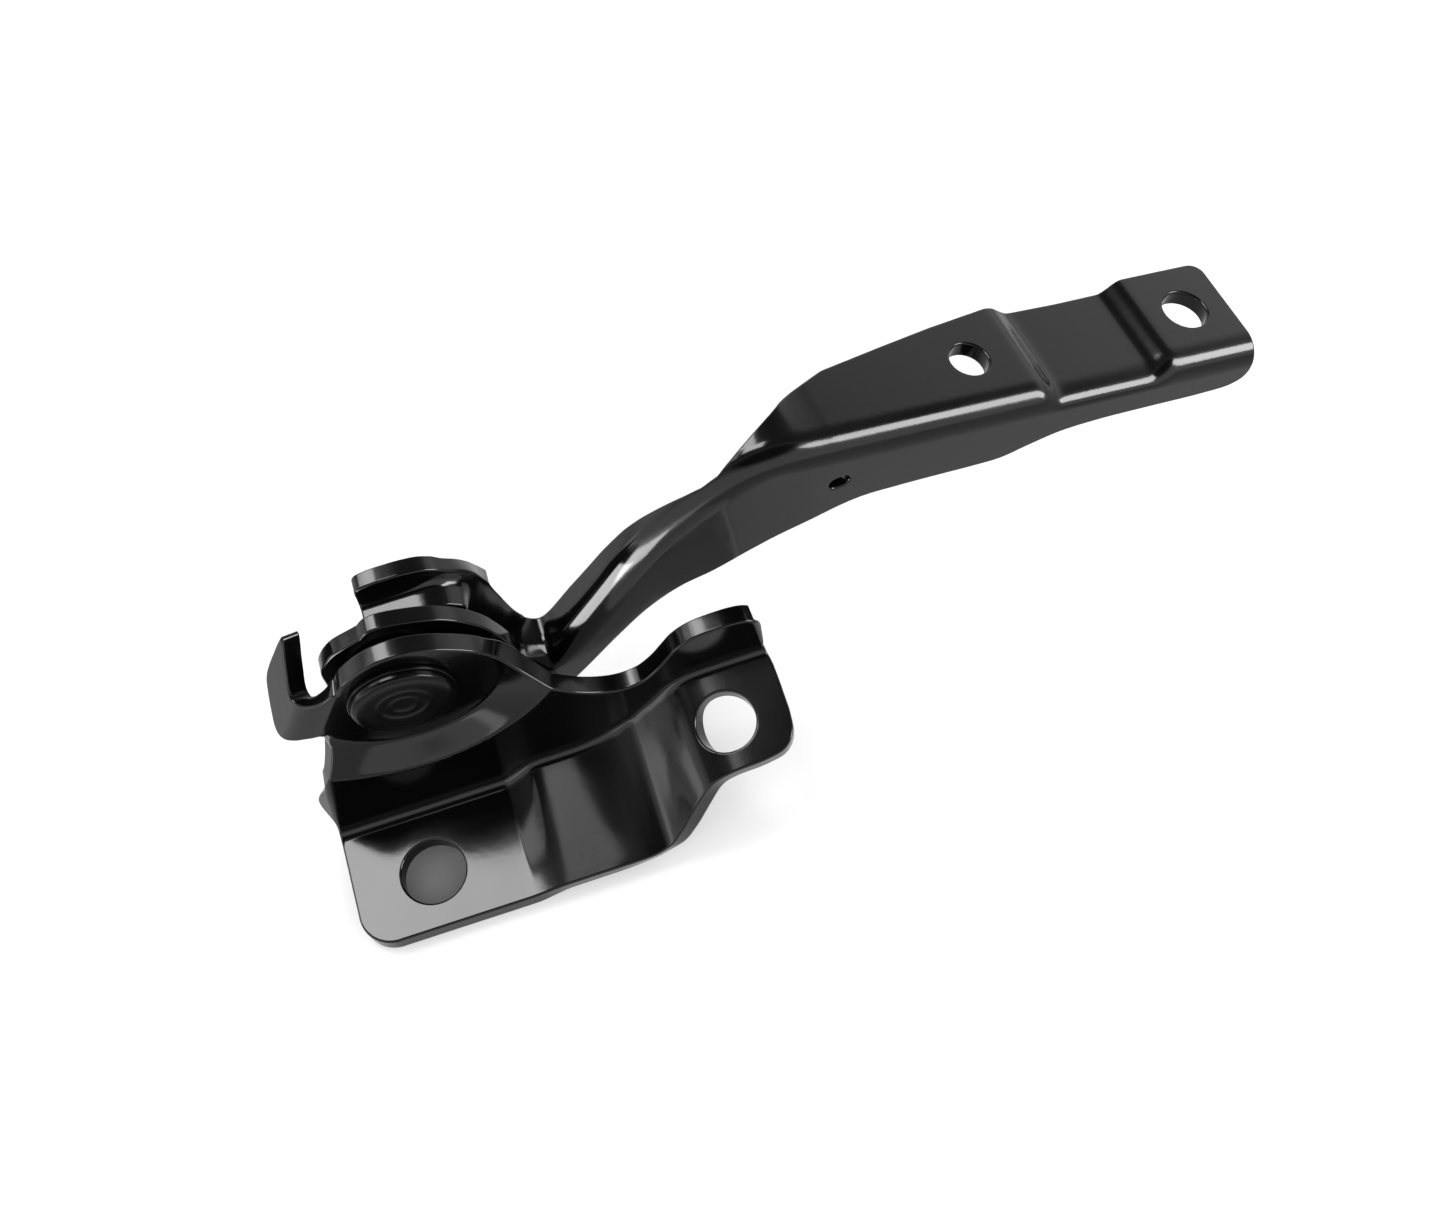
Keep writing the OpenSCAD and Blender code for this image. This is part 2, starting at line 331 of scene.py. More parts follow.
# ---------------------------------------------------------------- materials
def paint(name, tone=0.00025, rough=0.14, ior=1.27):
    """Gloss black dip coat with a faint orange peel and uneven gloss."""
    m = bpy.data.materials.new(name)
    m.use_nodes = True
    nt = m.node_tree
    bs = nt.nodes["Principled BSDF"]
    bs.inputs["IOR"].default_value = ior
    co = nt.nodes.new("ShaderNodeTexCoord")
    big = nt.nodes.new("ShaderNodeTexNoise")
    big.inputs["Scale"].default_value = 45
    big.inputs["Detail"].default_value = 3
    fine = nt.nodes.new("ShaderNodeTexNoise")
    fine.inputs["Scale"].default_value = 520
    fine.inputs["Detail"].default_value = 2
    for t in (big, fine):
        nt.links.new(co.outputs["Object"], t.inputs["Vector"])
    rr = nt.nodes.new("ShaderNodeMapRange")
    rr.inputs["From Min"].default_value = 0.3
    rr.inputs["From Max"].default_value = 0.7
    rr.inputs["To Min"].default_value = rough - 0.025
    rr.inputs["To Max"].default_value = rough + 0.03
    nt.links.new(big.outputs["Fac"], rr.inputs["Value"])
    nt.links.new(rr.outputs["Result"], bs.inputs["Roughness"])
    cr = nt.nodes.new("ShaderNodeValToRGB")
    cr.color_ramp.elements[0].position = 0.35
    cr.color_ramp.elements[0].color = (tone, tone, tone * 1.05, 1)
    cr.color_ramp.elements[1].position = 0.7
    cr.color_ramp.elements[1].color = (tone * 1.6, tone * 1.6, tone * 1.65, 1)
    nt.links.new(big.outputs["Fac"], cr.inputs["Fac"])
    nt.links.new(cr.outputs["Color"], bs.inputs["Base Color"])
    bump = nt.nodes.new("ShaderNodeBump")
    bump.inputs["Strength"].default_value = 0.012
    bump.inputs["Distance"].default_value = 0.001
    nt.links.new(fine.outputs["Fac"], bump.inputs["Height"])
    nt.links.new(bump.outputs["Normal"], bs.inputs["Normal"])
    return m


def dull_steel(name):
    m = bpy.data.materials.new(name)
    m.use_nodes = True
    nt = m.node_tree
    bs = nt.nodes["Principled BSDF"]
    bs.inputs["Metallic"].default_value = 1.0
    co = nt.nodes.new("ShaderNodeTexCoord")
    no = nt.nodes.new("ShaderNodeTexNoise")
    no.inputs["Scale"].default_value = 300
    no.inputs["Detail"].default_value = 5
    nt.links.new(co.outputs["Object"], no.inputs["Vector"])
    cr = nt.nodes.new("ShaderNodeValToRGB")
    cr.color_ramp.elements[0].color = (0.05, 0.05, 0.052, 1)
    cr.color_ramp.elements[1].color = (0.11, 0.11, 0.115, 1)
    nt.links.new(no.outputs["Fac"], cr.inputs["Fac"])
    nt.links.new(cr.outputs["Color"], bs.inputs["Base Color"])
    rr = nt.nodes.new("ShaderNodeMapRange")
    rr.inputs["To Min"].default_value = 0.38
    rr.inputs["To Max"].default_value = 0.55
    nt.links.new(no.outputs["Fac"], rr.inputs["Value"])
    nt.links.new(rr.outputs["Result"], bs.inputs["Roughness"])
    return m


BLACK = paint("gloss_black")
BLACK_HEAD = paint("gloss_black_rivet", rough=0.2, ior=1.19)
STEEL = dull_steel("phosphated_steel")

# ------------------------------------------------------------------ bracket
YW, RB = 15.0, 2.4
PAD_T, PAN_T = math.tan(math.radians(3.3)), math.tan(math.radians(11.0))
HOOK_A = (-3.5, 50.7)
BOSS = 5.0


def b_plane(x):
    """Height and slope of the flange at x: z = a + s * y."""
    w = (sr(x - 21.0, 0.25) - sr(x - 28.0, 0.8)) / 7.0
    z0 = soft_line(x, [(0, 0), (48.6, 0), (53.4, 1.1), (57.8, 6.2), (96, 59.3)], 0.55) - 1.39 * sr(x - 66.0, 2.3)
    k = soft_line(x, [(0, 0), (42, 0), (53.6, 5.4), (60, 2.2), (65, 1.0), (69, 0.2), (96, 0)], 1.8)
    a = (1 - w) * 0.04 + w * (z0 + PAN_T * 13.9 + k * 0.48)
    return a, (1 - w) * PAD_T + w * (PAN_T + k * 0.04)


def b_section(x):
    a, s = b_plane(x)
    tau = np.arctan(s)
    ang = np.pi / 2 - tau
    top = a + s * YW + RB * np.tan(ang / 2)
    return tau, ang, top, top - RB * ang


def b_height(x, y):
    """Drawing height of the flange point at plan (x, y)."""
    tau, ang, top, start = b_section(x)
    return start - (YW - RB + RB * np.cos(ang) - y) / np.cos(tau)


def b_boss(x, z):
    d1 = np.hypot(x - 10.6, z - 47.4) - 21.3
    d2 = 40.3 - np.hypot(x - 8.7, z - 62.0)
    w = np.maximum(np.abs(d1) + np.abs(d2), 2.4)
    f = np.where(d2 > -6, d2 / np.maximum(d1 + d2, 1.6), -3.0)
    f = np.where(d1 < 0, 1.0 - d1 / w, f)
    f = np.clip(f, -3, 4)
    k = 0.28 / w
    return BOSS * (sr(f, k) - sr(f - 1, k))


def fold(e, phi, rho):
    th = np.clip(e / rho, 0, phi)
    over = np.maximum(e - rho * phi, 0)
    return rho * np.sin(th) + over * np.cos(phi), rho * (1 - np.cos(th)) + over * np.sin(phi)


def left_line(z):
    return -14.2 - (25.9 - z) * 0.173


def b_surface(x, w):
    x, w = np.asarray(x, float), np.asarray(w, float)
    tau, ang, top, start = b_section(x)
    psi = np.clip((top - w) / RB, 0, ang)
    y = YW - RB + RB * np.cos(psi)
    z = top - RB * np.sin(psi)
    up, dn = np.maximum(w - top, 0), np.maximum(start - w, 0)
    y = y - dn * np.cos(tau)
    z = z + up - dn * np.sin(tau)
    web = w > top - 1.0
    # hook bent back about the slanting left edge of the boss
    E = -0.866 * (x - HOOK_A[0]) + 0.5 * (z - HOOK_A[1])
    U = 0.5 * (x - HOOK_A[0]) + 0.866 * (z - HOOK_A[1])
    hk = web & (E > 0) & (U > -30) & (z > 30)
    xf, zf = HOOK_A[0] + 0.5 * U, HOOK_A[1] + 0.866 * U
    e1, e2 = fold(np.where(hk, E, 0), math.radians(70), 7.0)
    y = y + np.where(hk, BOSS, np.where(web, b_boss(x, z), 0))
    x2 = np.where(hk, xf - 0.866 * e1, x)
    z2 = np.where(hk, zf + 0.5 * e1, z)
    y = y + np.where(hk, e2, 0)
    # return along the left end of the web
    E2 = np.where(web & ~hk & (z < 27), left_line(z) - x, 0)
    E2 = np.maximum(E2, 0)
    f1, f2 = fold(E2, math.radians(40) * smooth(z, 3.0, 9.0) * (1 - smooth(z, 23.0, 26.0)) + 1e-6, 1.3)
    x2 = np.where(E2 > 0, left_line(z) - f1, x2)
    y = y + np.where(E2 > 0, f2, 0)
    # return at the right end of the web
    E3 = np.where(web, np.maximum(x - 86.4, 0), 0)
    g1, g2 = fold(E3, math.radians(48) * smooth(w - top, -0.5, 2.5) + 1e-6, 1.2)
    x2 = np.where(E3 > 0, 86.4 + g1, x2)
    y = y + np.where(E3 > 0, g2, 0)
    return np.stack([x2, y, z2], -1)


def flange(P):
    P = np.asarray(P, float)
    return np.stack([P[:, 0], b_height(P[:, 0], P[:, 1])], 1)


def hook_pts(P):
    P = np.asarray(P, float)
    return np.stack([HOOK_A[0] + 0.5 * P[:, 1] - 0.866 * P[:, 0],
                     HOOK_A[1] + 0.866 * P[:, 1] + 0.5 * P[:, 0]], 1)


left_top = float(b_section(np.array([-19.0]))[2][0])
right_top = float(b_section(np.array([87.0]))[2][0])
rim = curve([(-1.9, 54.1), (0, 56.9), (4, 60.0), (9, 62.0), (14.3, 62.2), (19, 60.8), (24.5, 57.4),
             (29.5, 52.7), (33, 46.9), (36.8, 41), (41.5, 35.5), (45.6, 31), (49.6, 28), (54.2, 26.2), (58.6, 26.6),
             (62.5, 29.4), (65.4, 32.8), (68.6, 36.4), (72.6, 38.6), (79, 39.4), (83, 39.1), (85.3, 38.3), (86.8, 37.0)], 0.6)
outer = join(
    flange(line([(-19, 11.8), (-19, -6.0)])),
    flange(arc((-11, -6.0), 8, 180, 270)),
    flange(curve([(-11, -13.98), (0, -13.98), (18, -13.98), (27, -13.95), (36, -13.9), (46, -13.9), (51, -13.7), (56, -12.7),
                  (61, -11), (66, -9.4), (72, -8.7), (80, -8.3), (84.6, -7.2), (87.2, -4.4), (88, 0), (88, 4), (87.95, 8), (87.8, 11.4)], 0.6)),
    line([(87.6, right_top - 3.4), (87.2, right_top - 1.7), (87.0, right_top + 0.2)], 0.6),
    curve([(87.0, right_top + 0.2), (87.6, right_top + 1.4), (88.2, 31.4), (88.4, 33.6), (87.9, 35.6), (86.8, 37.0)], 0.5),
    rim[::-1],
    hook_pts(curve([(0.32, 3.75), (1.1, 3.3), (1.8, 2.0), (2.4, 0.5), (3.3, -1.0), (4.7, -2.8), (6.2, -4.4), (7.9, -5.6),
                    (9.1, -6.2), (10.4, -6.1), (11.7, -5.0), (13.3, -2.6), (15.3, 0.4), (17.4, 3.9), (18.3, 5.0)], 0.5)),
    hook_pts(line([(18.3, 5.0), (19.0, 5.0)], 0.4)),
    hook_pts(curve([(19.0, 5.0), (19.3, 2.1), (19.4, -1.4), (19.5, -6.1), (19.3, -9.3), (18.7, -11.4), (17.2, -13.8), (15.1, -16.6),
                    (13.4, -18.6), (11.7, -20.3), (9.7, -21.0), (7.5, -20.0), (5.1, -17.7), (2.8, -15.2), (0.4, -13.5),
                    (-1.2, -13.0), (-2.0, -13.9), (-2.4, -15.6)], 0.55)),
    curve([(-9.2, 34.7), (-10.3, 32.4), (-11.7, 29.9), (-13.3, 27.5), (-14.4, 25.7), (-16.1, 23.0), (-18.3, 19.5), (-19.5, 16.9),
           (-19.8, 14.8), (-19.6, 12.7), (-18.95, 9.6), (-18.5, 7.0), (-18.55, left_top + 0.6), (-18.9, left_top - 1.6)], 0.6),
    tol=0.2,
)
hole_l = flange(arc((0, -0.58), 7.5, 360, 0, 0.5)[:-1])
hr_s = float(np.cos(np.arctan(PAN_T)))
ang = np.radians(np.linspace(360, 0, 90))[:-1]
hole_r = flange(np.stack([73.8 + 6.8 * np.cos(ang), 2.5 + 6.8 * hr_s * np.sin(ang)], 1))
extra = []
for f in np.linspace(-0.06, 1.06, 15):
    for th in np.radians(np.arange(150, 400, 1.6)):
        c1 = np.array([10.6 + 21.3 * np.cos(th), 47.4 + 21.3 * np.sin(th)])
        d = np.array([np.cos(th), np.sin(th)])
        o = c1 - np.array([8.7, 62.0])
        bq = o @ d
        t = -bq + math.sqrt(max(bq * bq - (o @ o - 40.3 ** 2), 0))
        extra.append(c1 + d * t * f)
for xx in np.arange(-18, 88, 0.8):
    tau, ag, tp, st = [float(v[0]) for v in b_section(np.array([xx]))]
    for u in np.linspace(-0.15, 1.15, 10):
        extra.append((xx, st + (tp - st) * u))
for xx in np.r_[np.arange(20.0, 30.2, 0.45), np.arange(47, 70, 0.6)]:
    for yy in np.arange(-13, 8, 0.8):
        extra.append(tuple(flange([(xx, yy)])[0]))
for u in np.arange(-21, 6, 0.6):
    for e in np.arange(-0.9, 9.4, 0.45):
        extra.append(tuple(hook_pts([(e, u)])[0]))
for zz in np.arange(5, 27, 0.6):
    for e in np.arange(-0.8, 2.4, 0.35):
        extra.append((left_line(zz) - e, zz))
extra = np.array(extra)
keep = np.ones(len(extra), bool)
kd = KDTree(len(extra))
for i, q in enumerate(extra):
    kd.insert((q[0], q[1], 0), i)
kd.balance()
for i, q in enumerate(extra):
    if keep[i]:
        for _, j, dist in kd.find_range((q[0], q[1], 0), 0.24):
            if j > i:
                keep[j] = False
D, F = fill([outer, hole_l, hole_r], 0.95, extra[keep])
V, N = lift(b_surface, D)
bracket = to_mesh("bracket_pressing", *thicken(V, N, F, TB), BLACK)

# ---------------------------------------------------------------------- arm
YE = 27.9
EX, EZ = 105.9, 75.05
C23, S23 = math.cos(math.radians(23)), math.sin(math.radians(23))
RA = 6.0
LA = RA * math.pi / 2


def far(P):
    """Outer-arm (along, up) points as developed (x, z)."""
    P = np.asarray(P, float)
    return np.stack([EX + P[:, 0] * C23 + P[:, 1] * S23, EZ - P[:, 0] * S23 + P[:, 1] * C23], 1)


XT = np.arange(-20, 240, 0.25)
PSI = np.radians(9.4) / (1 + np.exp(-(XT - EX) / 1.6))
PLX = np.interp(EX, XT, XT) + np.cumsum(np.cos(PSI)) * 0.25
PLX = PLX - np.interp(20.0, XT, PLX) + 20.0
PLY = YE + np.cumsum(np.sin(PSI)) * 0.25


def plan(X):
    return np.interp(X, XT, PLX), np.interp(X, XT, PLY), np.interp(X, XT, PSI)


def recess(s):
    return -2.5 * (ramp(s, 62.2, 66.4, 0.55) - ramp(s, 92.8, 96.6, 0.5))


fs = np.arange(9, 120.31, 0.5)
fs[-1] = 120.3
far_line = far(np.stack([fs, 0 * fs], 1))
spine = np.vstack([
    curve([(7.6, 56.4), (12, 56.4), (17, 56.3), (20.5, 56.2), (23, 55.9), (25.5, 55.0), (28, 53.0), (29.6, 51.4), (30.6, 50.2),
           (32.3, 47.8), (33.2, 45.2), (34, 42.4), (35.4, 36.4), (36.8, 30.6), (38.2, 27.9),
           (39.8, 26.6), (41.6, 26.8), (43.6, 28.3), (46.5, 31.6), (54.7, 41.6), (60.6, 49.0), (66.6, 55.9), (73, 61.8),
           (79.9, 67.0), (87, 71.5), (93.9, 74.8), (99.2, 75.8), (104, 75.4), tuple(far_line[0])], 0.25)[:-1],
    far_line])
spine = even(spine, 0.25)
kern = np.exp(-0.5 * (np.arange(-8, 9) / 2.2) ** 2)
kern /= kern.sum()
pad = np.vstack([2 * spine[0] - spine[8:0:-1], spine, 2 * spine[-1] - spine[-2:-10:-1]])
spine = np.stack([np.convolve(pad[:, j], kern, "valid") for j in (0, 1)], 1)
SL = np.r_[0, np.cumsum(np.linalg.norm(np.diff(spine, axis=0), axis=1))]
S_END = float(SL[-1])


def at(s):
    """Developed x, z and slope angle of the spine at length s."""
    x, z = np.interp(s, SL, spine[:, 0]), np.interp(s, SL, spine[:, 1])
    e = 0.35
    a, b = np.clip(s - e, 0, S_END), np.clip(s + e, 0, S_END)
    return x, z, np.arctan2(np.interp(b, SL, spine[:, 1]) - np.interp(a, SL, spine[:, 1]),
                            np.interp(b, SL, spine[:, 0]) - np.interp(a, SL, spine[:, 0]))


def s_of_x(x):
    return np.interp(x, np.maximum.accumulate(spine[:, 0]), SL)


S_V = float(s_of_x(37.0))
BACK = np.array([(38, 11.7), (41, 11.0), (44, 11.0), (50, 10.8), (60, 9.7), (66, 8.7), (70, 7.7), (75, 6.2), (80, 4.7), (84, 3.8), (88, 3.9), (92, 5.5), (95.5, 7.3),
                 (99, 9.4), (103.9, 12.6), (107, 14.5), (111, 16.6), (119.5, 20.4), (134.2, 23.3), (147.2, 25.7)])
FARB = far([(60.5, 0), (63, 0), (67, 0), (80, 0), (92, 0), (98, 0), (112, 0)])
BACK = np.vstack([BACK, np.stack([FARB[:, 0], [27.8, 27.7, 27.1, 26.9, 27.1, 28.0, 28.1]], 1)])
LIP_X = np.arange(0.0, 60.0, 0.1)
soft = np.exp(-0.5 * (np.arange(-25, 26) / 8.0) ** 2)
soft /= soft.sum()


def eased(P):
    y = np.interp(np.r_[np.full(25, LIP_X[0]), LIP_X, np.full(25, LIP_X[-1])], *np.array(P).T)
    return np.convolve(y, soft, "valid")


LIP_H = eased([(7.6, 4.4), (12, 5.2), (18, 5.2), (22, 4.7), (25.4, 3.8), (27.4, 3.1), (28.7, 2.9), (29.8, 3.0), (31.1, 2.9), (32.6, 2.2),
               (34.2, 1.4), (36, 0.8), (38, 0.3), (40, 0.0)])
LIP_V = eased([(7.6, 10.5), (20, 10.5), (24, 10.65), (27, 11.0), (29, 11.5), (31, 12.2), (33, 12.9), (34.5, 12.9), (36, 12.3), (38, 11.7)])
VA = 8.4


def lip_form(x):
    """Lip height, edge distance, share of rolling and width of the roll at developed x."""
    H = np.interp(x, LIP_X, LIP_H)
    vE = np.interp(x, LIP_X, LIP_V)
    m = np.minimum(1.0, H / 1.5)
    return H, vE, m, (vE - VA) * (1 - m) + 4.4 * m


def back_q(s):
    x = at(s)[0]
    v = np.interp(x, BACK[:, 0], BACK[:, 1])
    q = np.where(v >= RA, LA + v - RA, RA * np.arccos(np.clip(1 - v / RA, -1, 1)))
    H, _, _, W = lip_form(x)
    return np.where(x < 38, LA + (VA - RA) + W + np.maximum(H - 3.5, 0), q)


def a_web(X, z):
    x, y, _ = plan(X)
    return np.stack([x, y + 0 * z, z + 0 * x], -1)


def a_flange(s, q):
    s, q = np.asarray(s, float), np.asarray(q, float)
    X, z, th = at(s)
    x, y, psi = plan(X)
    td = th * smooth(X, 39.5, 54.0)
    T = np.stack([np.cos(td) * np.cos(psi), np.cos(td) * np.sin(psi), np.sin(td)], -1)
    B = np.stack([-np.sin(psi), np.cos(psi), 0 * psi], -1)
    Nf = np.cross(T, B)
    al = np.pi / 2 - np.clip(LA - q, 0, LA + 3) / RA
    over = np.maximum(q - LA, 0)
    v1 = RA - RA * np.cos(al) + over
    h1 = (RA + recess((X - EX) / C23)) * np.sin(al) - RA
    v0, h0 = RA - (LA - q), 0 * q
    g = smooth(s, S_V - 2.0, S_V)
    v, h = v0 + g * (v1 - v0), h0 + g * (h1 - h0)
    # back lip of the tongue
    H, vE, m, W = lip_form(X)
    u = np.maximum(q - LA - (VA - RA), 0)
    f = np.clip(u / W, 0, 1)
    beta = f * np.pi / 2
    lv = (vE - VA) * ((1 - m) * f + m * np.sin(beta))
    lh = np.minimum(H, 3.5) * (1 - np.cos(beta)) + np.clip(u - W, 0, np.maximum(H - 3.5, 0))
    rise = 0.1 * np.maximum(v - 4.5, 0) * (1 - smooth(X, 30.0, 36.0))
    tongue = (u > 0) & (X < 40)
    v = np.where(tongue, VA + lv, v)
    h2 = np.where(tongue, lh, 0) + np.where(X < 40, rise, 0)
    K = np.array([0.0, 0.0, 1.0])
    lean = 0.5 * smooth(X, 28.0, 33.0) * (1 - smooth(X, 36.0, 40.0)) * np.clip(v - vE, -9.0, 0.0)
    P = np.stack([x, y, z], -1)
    return P + B * v[..., None] + Nf * h[..., None] + K * h2[..., None] + np.array([1.0, 0.0, 0.0]) * lean[..., None]


# flange outline in (length, width)
n_sh = int((S_END - S_V) / 0.6)
s_sh = np.linspace(S_V, S_END, n_sh)
Q1 = LA + (4.5 - RA)
s_bk = np.linspace(S_END - 3.4, 2.2, int((S_END - 5) / 0.6))
corner = np.radians(np.linspace(0, 90, 9))
q_c = float(back_q(np.array([S_END - 3.4]))[0])
q_l = float(back_q(np.array([2.2]))[0])
f_outer = join(
    line([(0.0, Q1), (S_V, Q1), (S_V, 0.0)], 0.6),
    np.stack([s_sh, 0 * s_sh], 1),
    line([(S_END, 0.0), (S_END, q_c - 3.4)], 0.6),
    np.stack([S_END - 3.4 + 3.4 * np.cos(corner), q_c - 3.4 + 3.4 * np.sin(corner)], 1),
    np.stack([s_bk, back_q(s_bk)], 1),
    np.stack([2.2 - 2.2 * np.sin(corner), q_l - 2.2 + 2.2 * np.cos(corner)], 1),
    line([(0.0, q_l - 2.2), (0.0, Q1)], 0.6),
    tol=0.15,
)


def far_s(s):
    """Spine length at a given distance along the outer arm."""
    return s_of_x(EX + np.asarray(s, float) * C23)


def arm_hole(s0, v0, r):
    a = np.radians(np.linspace(360, 0, 72))[:-1]
    s = s0 + r * np.cos(a)
    return np.stack([far_s(s), LA + v0 - RA + r * np.sin(a)], 1)


h_a, h_b = arm_hole(49.3, 14.9, 4.5), arm_hole(108.5, 15.6, 5.4)
fx = []
for s in np.arange(0.6, S_END, 0.75):
    for q in np.linspace(0.6, LA + 0.6, 11):
        fx.append((s, q))
for s in np.r_[np.arange(0.5, S_V + 3, 0.55)]:
    for q in np.arange(Q1 + 0.6, LA + 10, 0.6):
        fx.append((s, q))
for s in far_s(np.r_[np.arange(60.5, 68.5, 0.5), np.arange(91, 98.5, 0.5)]):
    for q in np.arange(LA + 0.6, LA + 23, 0.8):
        fx.append((float(s), q))
fx = np.array(fx)
FD, FF = fill([f_outer, h_a, h_b], 1.0, fx)
FV, FN = lift(a_flange, FD)

# web and pivot ear outline in developed (x, z)
X_sh, z_sh, th_sh = at(s_sh)
td_sh = th_sh * smooth(X_sh, 39.5, 54.0)
shared = np.stack([X_sh + RA * np.sin(td_sh), z_sh - RA * np.cos(td_sh)], 1)
ear_top = join(
    curve([(-5.3, 45), (-4.6, 51.5), (-0.5, 56.9), (4.6, 59), (6.5, 59.7)], 0.6),
    curve([(6.5, 59.7), (7.3, 60.6), (8.3, 61.5)], 0.4),
    curve([(8.3, 61.5), (11, 61.9), (16, 60.8), (24, 57), (30.4, 49.5), (33.2, 42.7), (35.2, 34.7), (35.9, 29.2), (36.2, 26.8)], 0.6),
)
low = far([(120.3, -6.0), (120.3, -7.2), (119.4, -9.4), (116.4, -11.2), (108.2, -12), (94, -12.2), (80.2, -12.5), (69.7, -13.6), (62.5, -15.8),
           (55.6, -18.2), (48, -18.8), (39.9, -19), (29, -19.4), (19.8, -20.2)])
w_outer = join(
    curve(np.vstack([low, [(108, 49.2), (98, 47.2), (90.4, 44.6), (81.8, 41.2), (73.7, 39.0), (66, 34.6), (57.4, 26.9), (46.3, 15.7),
                           (39, 9.4), (31, 6.8), (22, 9.5), (13, 18), (4, 30), (-2.6, 37.4), (-5.3, 45)]]), 0.65),
    ear_top,
    line([tuple(ear_top[-1]), tuple(shared[0])], 0.5)[1:-1] if np.linalg.norm(ear_top[-1] - shared[0]) > 0.8 else ear_top[-1:],
    shared,
    tol=0.1,
)
# outline runs clockwise as written; turn it round
w_outer = w_outer[::-1]
slot_c = far([(12.6, -12.7)])[0]
sa = np.radians(np.linspace(90, 270, 14))
sl = np.vstack([np.stack([-0.8 + 1.6 * np.cos(sa), 1.6 * np.sin(sa)], 1), np.stack([0.8 - 1.6 * np.cos(sa), -1.6 * np.sin(sa)], 1)])
tilt = math.radians(-23 + 14)
slot = np.stack([slot_c[0] + sl[:, 0] * math.cos(tilt) - sl[:, 1] * math.sin(tilt),
                 slot_c[1] + sl[:, 0] * math.sin(tilt) + sl[:, 1] * math.cos(tilt)], 1)[::-1]
piv = arc((PX, PZ), 5.75, 360, 0, 0.5)[:-1]
WD, WF = fill([w_outer, slot, piv], 1.3)
WV, WN = lift(a_web, WD)

# weld the two along the bend
kd = KDTree(len(FV))
for i, p in enumerate(FV):
    kd.insert(p, i)
kd.balance()
index = np.arange(len(WV)) + len(FV)
for i, p in enumerate(WV):
    _, j, dist = kd.find(p)
    if dist < 0.06:
        index[i] = j
AV = np.vstack([FV, WV])
AN = np.vstack([FN, WN])
AF = np.vstack([FF, index[WF]])
AF = AF[(AF[:, 0] != AF[:, 1]) & (AF[:, 1] != AF[:, 2]) & (AF[:, 0] != AF[:, 2])]
used = np.unique(AF)
ren = -np.ones(len(AV), int)
ren[used] = np.arange(len(used))
AV, AN, AF = AV[used], AN[used], ren[AF]
arm = to_mesh("gooseneck_arm", *thicken(AV, AN, AF, TA), BLACK)

# -------------------------------------------------------------------- pivot
head = [(0, 17.2), (1.2, 17.2), (2.1, 17.18), (2.6, 17.13), (2.9, 17.1), (3.2, 17.12), (3.7, 17.15), (4.5, 17.14), (5.0, 17.09),
        (5.5, 17.0), (5.9, 17.02), (6.3, 17.05), (7.2, 17.03), (8.6, 17.0), (9.8, 17.0), (10.5, 17.06), (11.0, 17.26), (11.3, 17.6), (11.4, 18.0),
        (11.4, 18.75), (11.25, 18.9),
        (4.5, 18.9), (4.5, 34.2), (5.3, 34.2), (5.5, 34.4), (5.5, 35.2), (5.2, 36.0), (4.4, 36.5), (2.6, 36.7), (0, 36.72)]
rivet = turned("rivet_with_spun_head", head, BLACK_HEAD, crisp=40)
washer = turned("washer_under_head", rounded([(4.6, 18.9), (11.9, 18.9), (11.9, 19.98), (4.6, 19.98)], 0.3), BLACK_HEAD)
spacer = turned("spacer_ring", rounded([(4.6, 24.52), (9.5, 24.52), (9.5, 26.4), (4.6, 26.4)], 0.25), STEEL)
bush = turned("bush_flange", rounded([(4.58, 26.7), (8.5, 26.7), (8.5, 27.88), (5.7, 27.88), (5.7, 31.9), (4.58, 31.9)], 0.2), STEEL)
tail = turned("washer_at_tail", rounded([(4.6, 32.2), (5.55, 32.2), (5.55, 34.2), (4.6, 34.2)], 0.2), STEEL)

for ob, body, node, slot_name in (
        (bracket, "bracket", "body_bracket", "black_paint"), (arm, "arm", "hinge_arm", "black_paint"),
        (rivet, "bracket", "pivot_rivet", "black_paint"), (washer, "bracket", "head_washer", "black_paint"),
        (spacer, "bracket", "spacer_washer", "plain_steel"), (bush, "arm", "pivot_bush", "plain_steel"),
        (tail, "bracket", "tail_washer", "plain_steel")):
    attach(ob, body)
    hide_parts(node)
for n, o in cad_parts.items():
    o.data.materials.clear()
    o.data.materials.append(STEEL if n in ("pivot_bush", "spacer_washer", "tail_washer") else BLACK)

# -------------------------------------------------------------------- stage
lo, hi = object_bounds()
floor_z = min(lo.z, 0.0) - 0.0003
me = bpy.data.meshes.new("floor")
me.from_pydata([(-3, -3, floor_z), (3, -3, floor_z), (3, 3, floor_z), (-3, 3, floor_z)], [], [(0, 1, 2, 3)])
floor = bpy.data.objects.new("floor", me)
bpy.context.scene.collection.objects.link(floor)
fm = bpy.data.materials.new("floor_white_with_painted_shade")
fm.use_nodes = True
fb = fm.node_tree.nodes["Principled BSDF"]
fb.inputs["Base Color"].default_value = (0.12, 0.12, 0.12, 1)
fb.inputs["Roughness"].default_value = 0.9
fb.inputs["Specular IOR Level"].default_value = 0.0
fb.inputs["Emission Color"].default_value = (1, 1, 1, 1)
fb.inputs["Emission Strength"].default_value = 0.2
